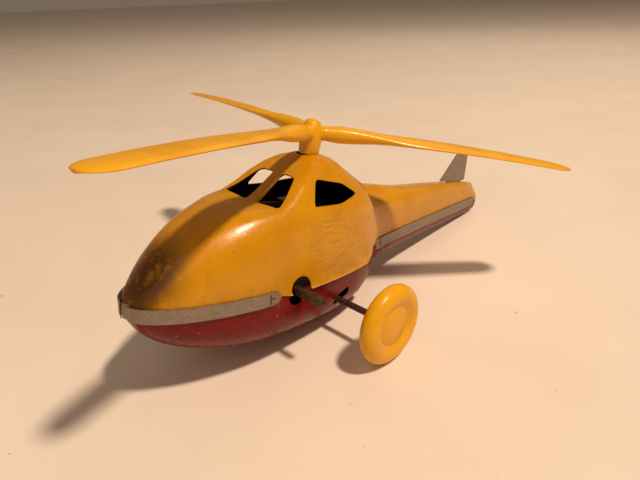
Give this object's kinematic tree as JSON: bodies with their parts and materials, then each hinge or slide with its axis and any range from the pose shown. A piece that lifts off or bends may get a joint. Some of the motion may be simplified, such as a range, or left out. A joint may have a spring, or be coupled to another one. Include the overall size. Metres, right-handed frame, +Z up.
{
  "type": "clockwork toy helicopter",
  "caption": "Wind-up tin toy helicopter with a pressed two-part body, a plastic rotor on a leaning mast, and plastic wheels on an axle driven by a spring motor.",
  "frame": {"origin": "on the floor under the middle of the bounding box", "axes": "+X towards the nose, +Y to port, +Z up from the floor the toy stands on"},
  "size_m": [0.2004, 0.1508, 0.0796],
  "materials": {
    "yellow_enamel": "gloss",
    "red_enamel": "gloss",
    "bare_tin": "dull",
    "yellow_plastic": "gloss",
    "browned_steel": "browned",
    "steel": "satin",
    "brass": "satin"
  },
  "bodies": {
    "airframe": {"upper_shell": "yellow_enamel", "lower_shell": "red_enamel", "nose_band_port": "bare_tin", "nose_band_starboard": "bare_tin", "boom_band_port": "bare_tin", "boom_band_starboard": "bare_tin", "tail_fin": "bare_tin", "mast_bridge": "bare_tin", "mast_footstep": "bare_tin", "motor_plate_port": "bare_tin", "motor_plate_starboard": "bare_tin", "pillar_front": "steel", "pillar_rear": "steel", "pillar_top_front": "steel", "pillar_top_rear": "steel", "mainspring": "steel"},
    "rotor_body": {"rotor": "yellow_plastic", "mast": "steel", "mast_pinion": "brass"},
    "mid_train": {"mid_arbor": "steel", "mid_pinion": "steel", "mid_wheel": "brass", "crown_wheel": "brass"},
    "great_body": {"great_wheel": "brass", "click_rivet": "brass", "click_spring": "steel"},
    "click_body": {"click": "steel"},
    "winder": {"winding_arbor": "browned_steel", "ratchet_wheel": "steel"},
    "wheel_set": {"axle": "browned_steel", "axle_pinion": "steel", "wheel_port": "yellow_plastic", "wheel_starboard": "yellow_plastic"}
  },
  "joints": [
    {"name": "rotor_spin", "type": "hinge", "parent": "airframe", "child": "rotor_body", "pos_m": [0.01499, 0.01524, 0.06365], "axis": [-0.2034, 0.0479, 0.9779], "continuous": true},
    {"name": "mid_spin", "type": "hinge", "parent": "airframe", "child": "mid_train", "pos_m": [0.02324, 0.01524, 0.02365], "axis": [0, 1, 0], "continuous": true},
    {"name": "great_spin", "type": "hinge", "parent": "airframe", "child": "great_body", "pos_m": [0.04212, 0.00844, 0.0245], "axis": [0, 1, 0], "continuous": true},
    {"name": "axle_spin", "type": "hinge", "parent": "airframe", "child": "wheel_set", "pos_m": [0.0245, 0.01524, 0.01293], "axis": [0, 1, 0], "continuous": true},
    {"name": "winding", "type": "hinge", "parent": "great_body", "child": "winder", "pos_m": [0.04212, 0.00949, 0.0245], "axis": [0, -1, 0], "range_deg": [0, 2160], "deforming": ["mainspring"]},
    {"name": "click_lift", "type": "hinge", "parent": "great_body", "child": "click_body", "pos_m": [0.04991, 0.00949, 0.02493], "axis": [0, 1, 0], "range_deg": [0, 12], "stiffness_Nm_per_rad": 0.0001, "springref_deg": -11.46, "deforming": ["click_spring"]}
  ],
  "couplings": [
    {"joint": "mid_spin", "follows": "rotor_spin", "ratio": 0.33333},
    {"joint": "great_spin", "follows": "rotor_spin", "ratio": -0.086667},
    {"joint": "axle_spin", "follows": "rotor_spin", "ratio": -0.66667}
  ]
}
